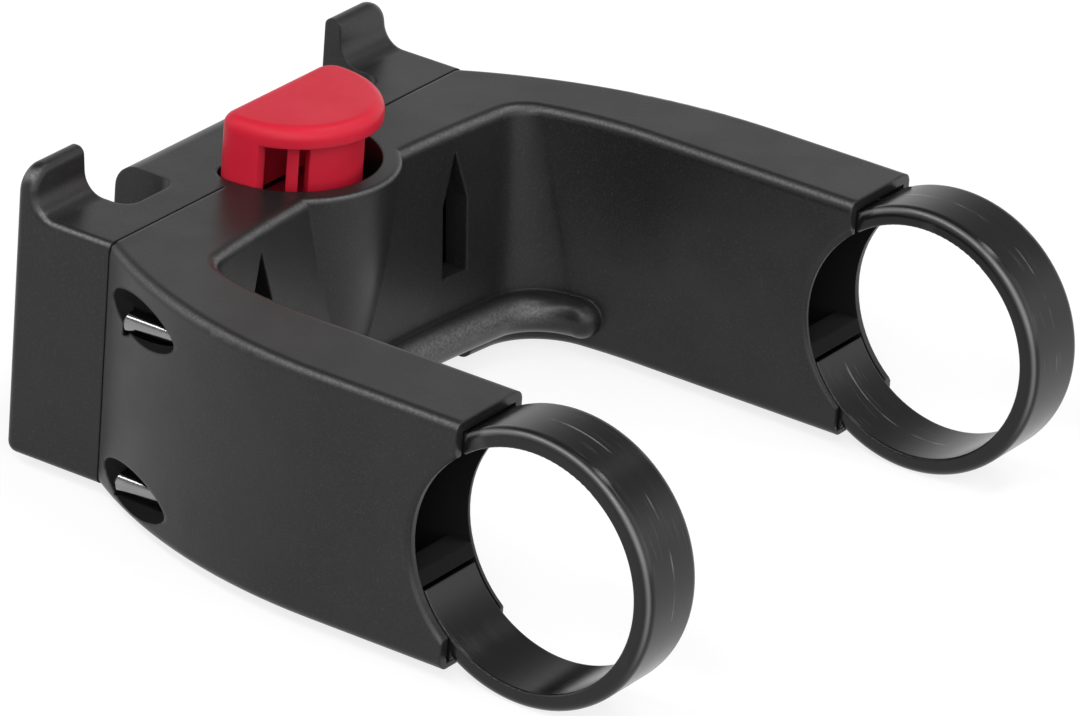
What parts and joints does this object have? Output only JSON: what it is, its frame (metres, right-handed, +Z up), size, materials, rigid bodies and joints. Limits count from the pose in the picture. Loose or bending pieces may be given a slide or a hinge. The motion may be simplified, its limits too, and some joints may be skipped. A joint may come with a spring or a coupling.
{
  "type": "bicycle handlebar bag mount",
  "caption": "U-shaped black plastic mount with clamp bands for a bicycle handlebar, upright hooks for a bag at the front, and a sprung red release button.",
  "frame": {"origin": "on the handlebar's axis, midway between the two clamp bands", "axes": "+X along the handlebar to the rider's right, +Y forward to the bag, +Z up"},
  "size_m": [0.1032, 0.1065, 0.0443],
  "materials": {
    "black_plastic": "fine moulded texture",
    "band_plastic": "satin",
    "red_plastic": "satin",
    "steel": "bright",
    "brass": "turned"
  },
  "bodies": {
    "frame": {"arm_frame": "black_plastic", "hook_plate": "black_plastic", "plate_screws": "steel", "button_spring": "steel", "left_upper_clamp_screw": "steel", "left_lower_clamp_screw": "steel", "right_upper_clamp_screw": "steel", "right_lower_clamp_screw": "steel"},
    "button": {"release_button": "red_plastic"},
    "left_clamp": {"left_clamp_band": "band_plastic", "left_upper_clamp_insert": "brass", "left_lower_clamp_insert": "brass"},
    "right_clamp": {"right_clamp_band": "band_plastic", "right_upper_clamp_insert": "brass", "right_lower_clamp_insert": "brass"}
  },
  "joints": [
    {"name": "button_press", "type": "slide", "parent": "frame", "child": "button", "axis": [0, 0, 1], "range_m": [-0.006, 0], "stiffness_N_per_m": 600, "springref_m": 0.004, "deforming": ["button_spring"]},
    {"name": "left_clamp_slide", "type": "slide", "parent": "frame", "child": "left_clamp", "axis": [0, -1, 0], "range_m": [0, 0.005]},
    {"name": "right_clamp_slide", "type": "slide", "parent": "frame", "child": "right_clamp", "axis": [0, -1, 0], "range_m": [0, 0.005]}
  ]
}
